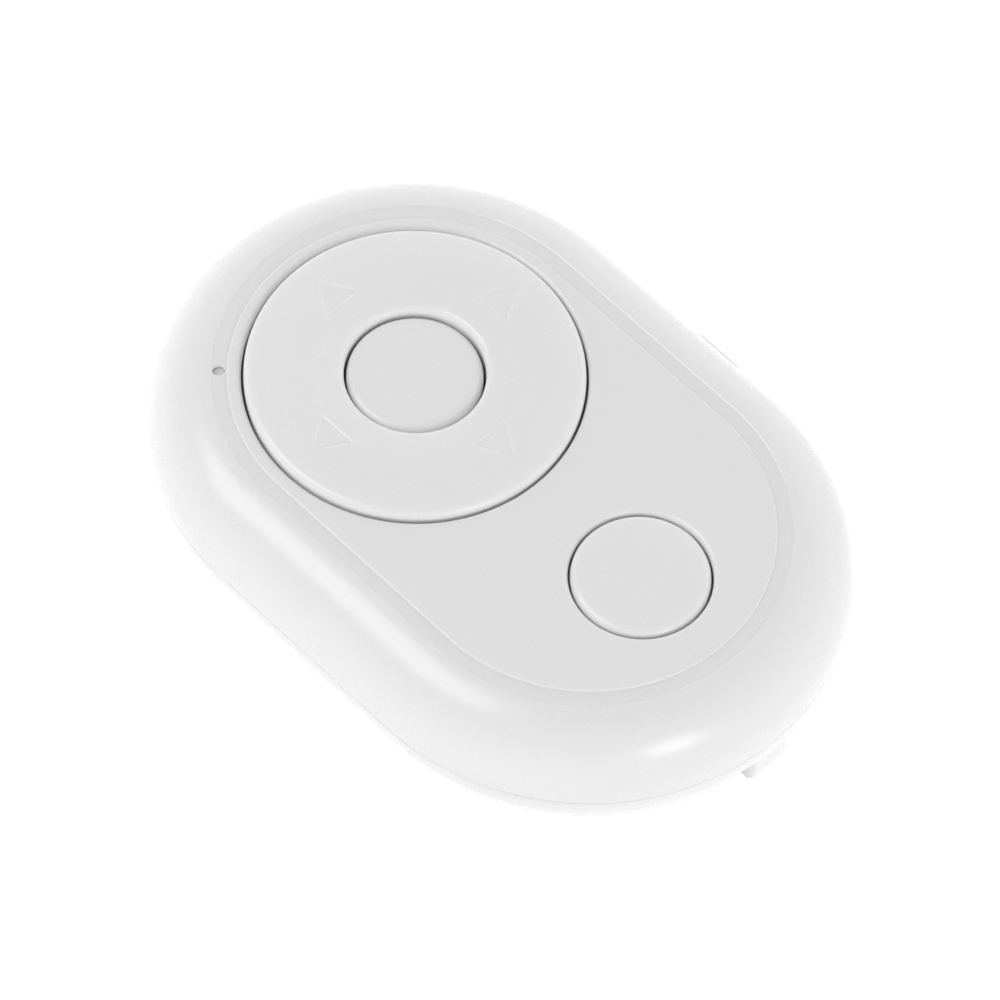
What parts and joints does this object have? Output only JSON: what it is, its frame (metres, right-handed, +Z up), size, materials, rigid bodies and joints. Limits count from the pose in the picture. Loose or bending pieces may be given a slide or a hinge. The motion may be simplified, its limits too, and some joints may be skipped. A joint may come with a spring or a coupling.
{
  "type": "bluetooth selfie remote",
  "caption": "Palm-sized white remote with rounded ends, a rocking ring pad with a button inside it, a second round button and a slide switch in its side.",
  "frame": {"origin": "middle of the underside, on the surface that the remote lies on", "axes": "+Z up out of the button panel, +Y towards the ring pad, +X towards the long side with the power switch"},
  "size_m": [0.0383, 0.0546, 0.012],
  "materials": {
    "white_case_plastic": "satin, with a very fine moulded grain",
    "white_button_plastic": "satin, with a very fine moulded grain",
    "grey_silicone": "matte",
    "green_board": "satin solder mask",
    "gold_trace": "plated",
    "black_plastic": "moulded",
    "bright_steel": "plated",
    "tan_ceramic": "fired ceramic",
    "clear_lens": "clear resin"
  },
  "bodies": {
    "case": {"antenna": "gold_trace", "bluetooth_chip": "black_plastic", "board_screws": "bright_steel", "bottom_shell": "white_case_plastic", "capacitors": "tan_ceramic", "case_screws": "bright_steel", "centre_dome": "bright_steel", "circuit_board": "green_board", "coin_cell_can": "bright_steel", "coin_cell_cap": "bright_steel", "crystal": "bright_steel", "lower_dome": "bright_steel", "negative_contact": "bright_steel", "positive_contact": "bright_steel", "resistors": "black_plastic", "ring_domes": "bright_steel", "status_light": "clear_lens", "switch_housing": "black_plastic", "switch_terminals": "bright_steel", "top_shell": "white_case_plastic"},
    "rocker": {"rocker_pad": "grey_silicone"},
    "ring": {"ring_pad": "white_button_plastic"},
    "centre_key": {"centre_button": "white_button_plastic"},
    "lower_key": {"lower_button": "white_button_plastic"},
    "power_slider": {"power_knob": "white_button_plastic", "switch_lever": "black_plastic"},
    "cover": {"battery_cover": "white_case_plastic"}
  },
  "joints": [
    {"name": "ring_rock_up_down", "type": "hinge", "parent": "case", "child": "rocker", "pos_m": [0, 0.0086, 0.0081], "axis": [1, 0, 0], "range_deg": [-1.2, 1.2], "stiffness_Nm_per_rad": 0.6},
    {"name": "ring_rock_left_right", "type": "hinge", "parent": "rocker", "child": "ring", "pos_m": [0, 0.0086, 0.0081], "axis": [0, 1, 0], "range_deg": [-1.2, 1.2], "stiffness_Nm_per_rad": 0.6},
    {"name": "centre_button_press", "type": "slide", "parent": "case", "child": "centre_key", "axis": [0, 0, -1], "range_m": [0, 0.00025], "stiffness_N_per_m": 6000, "deforming": ["centre_dome"]},
    {"name": "lower_button_press", "type": "slide", "parent": "case", "child": "lower_key", "axis": [0, 0, -1], "range_m": [0, 0.00025], "stiffness_N_per_m": 6000, "deforming": ["lower_dome"]},
    {"name": "power_switch_slide", "type": "slide", "parent": "case", "child": "power_slider", "axis": [0, 1, 0], "range_m": [0, 0.002]},
    {"name": "battery_cover_off", "type": "slide", "parent": "case", "child": "cover", "axis": [0, 0, -1], "range_m": [0, 0.005]}
  ]
}
